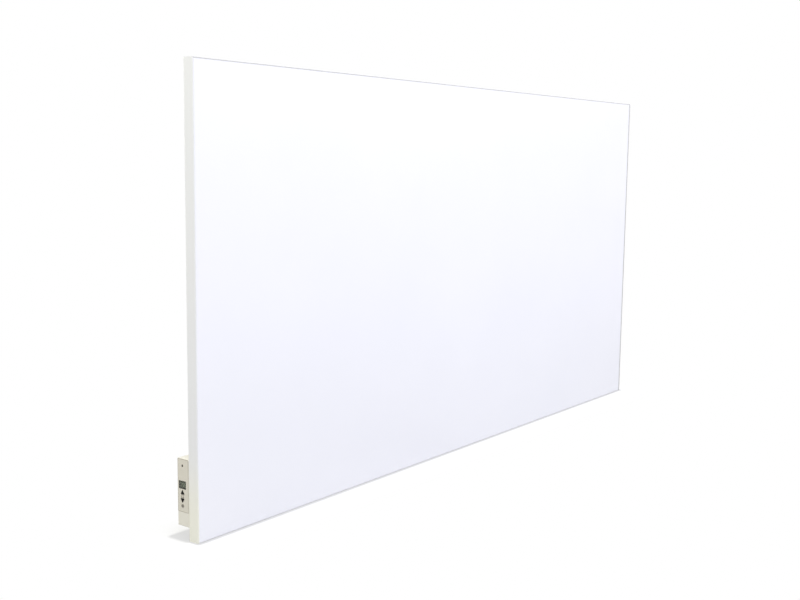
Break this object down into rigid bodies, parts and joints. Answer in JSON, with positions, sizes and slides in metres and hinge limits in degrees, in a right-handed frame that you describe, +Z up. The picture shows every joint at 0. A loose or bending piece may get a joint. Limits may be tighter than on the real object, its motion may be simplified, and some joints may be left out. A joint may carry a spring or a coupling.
{
  "type": "panel convector heater",
  "caption": "Slim wall-hung panel heater with a folded steel front, louvred rear cover, keyhole brackets and a side control unit with display and push keys.",
  "frame": {"origin": "middle of the panel's bottom edge, midway between the front face and the wall", "axes": "+Z up, the front face looks along -Y, +X to the right as seen from the front"},
  "size_m": [1.2, 0.039, 0.6],
  "materials": {
    "front_enamel": "smooth white powder coat",
    "rear_enamel": "white powder coat",
    "zinc_plate": "zinc plated",
    "galvanised_steel": "galvanised sheet",
    "aluminium_rivet": "bare",
    "bare_aluminium": "bright rolled sheet",
    "spacer_ceramic": "unglazed",
    "mica": "pressed mica sheet",
    "resistance_alloy": "rolled resistance ribbon",
    "brass": "bare",
    "dark_moulding": "moulded",
    "black_rubber": "moulded",
    "brown_silicone": "silicone insulation",
    "blue_silicone": "silicone insulation",
    "green_silicone": "silicone insulation",
    "housing_plastic": "fine moulded texture",
    "face_film": "satin film",
    "window_plastic": "tinted clear inlay",
    "display_glass": "display glass",
    "lamp_plastic": "diffused lens",
    "black_key": "moulded",
    "pale_key": "moulded",
    "grey_key": "moulded",
    "plunger_plastic": "moulded",
    "circuit_board": "solder mask",
    "cable_grey": "flat cable",
    "terminal_green": "moulded",
    "gland_nylon": "moulded nylon"
  },
  "bodies": {
    "root": {"front_panel": "front_enamel", "rear_cover": "rear_enamel", "rear_cover_screws": "zinc_plate", "lower_left_bracket": "galvanised_steel", "lower_right_bracket": "galvanised_steel", "upper_left_bracket": "galvanised_steel", "upper_right_bracket": "galvanised_steel", "bracket_rivets": "aluminium_rivet", "outer_left_rail": "galvanised_steel", "inner_left_rail": "galvanised_steel", "inner_right_rail": "galvanised_steel", "outer_right_rail": "galvanised_steel", "heat_shield": "bare_aluminium", "element_spacers": "spacer_ceramic", "element_back_sheet": "mica", "heating_ribbon": "resistance_alloy", "element_front_sheet": "mica", "element_screws": "zinc_plate", "element_terminals": "brass", "overheat_cutout": "dark_moulding", "cutout_clip": "zinc_plate", "clip_rivets": "aluminium_rivet", "wire_grommet": "black_rubber", "live_lead": "brown_silicone", "neutral_lead": "blue_silicone", "link_lead": "brown_silicone", "earth_lead": "green_silicone", "earth_stud": "brass", "earth_nut": "brass", "control_housing": "housing_plastic", "control_base": "housing_plastic", "control_screws": "zinc_plate", "face_plate": "face_film", "display_window": "window_plastic", "display_module": "display_glass", "status_lamp": "lamp_plastic", "keypad_board": "circuit_board", "keypad_screws": "zinc_plate", "key_switches": "dark_moulding", "board_cable": "cable_grey", "power_board": "circuit_board", "board_screws": "zinc_plate", "relay": "dark_moulding", "power_supply": "dark_moulding", "terminal_block": "terminal_green", "terminal_screws": "zinc_plate", "room_sensor": "dark_moulding", "gland_body": "gland_nylon", "gland_cap": "gland_nylon", "gland_seal": "black_rubber", "gland_nut": "gland_nylon"},
    "up_key": {"up_key": "black_key", "up_plunger": "plunger_plastic"},
    "set_key": {"set_key": "pale_key", "set_plunger": "plunger_plastic"},
    "down_key": {"down_key": "black_key", "down_plunger": "plunger_plastic"},
    "power_key": {"power_key": "grey_key", "power_plunger": "plunger_plastic"}
  },
  "joints": [
    {"name": "up_key_press", "type": "slide", "parent": "root", "child": "up_key", "axis": [1, 0, 0], "range_m": [0, 0.0005], "stiffness_N_per_m": 2000},
    {"name": "set_key_press", "type": "slide", "parent": "root", "child": "set_key", "axis": [1, 0, 0], "range_m": [0, 0.0005], "stiffness_N_per_m": 2000},
    {"name": "down_key_press", "type": "slide", "parent": "root", "child": "down_key", "axis": [1, 0, 0], "range_m": [0, 0.0005], "stiffness_N_per_m": 2000},
    {"name": "power_key_press", "type": "slide", "parent": "root", "child": "power_key", "axis": [1, 0, 0], "range_m": [0, 0.0005], "stiffness_N_per_m": 2000}
  ]
}
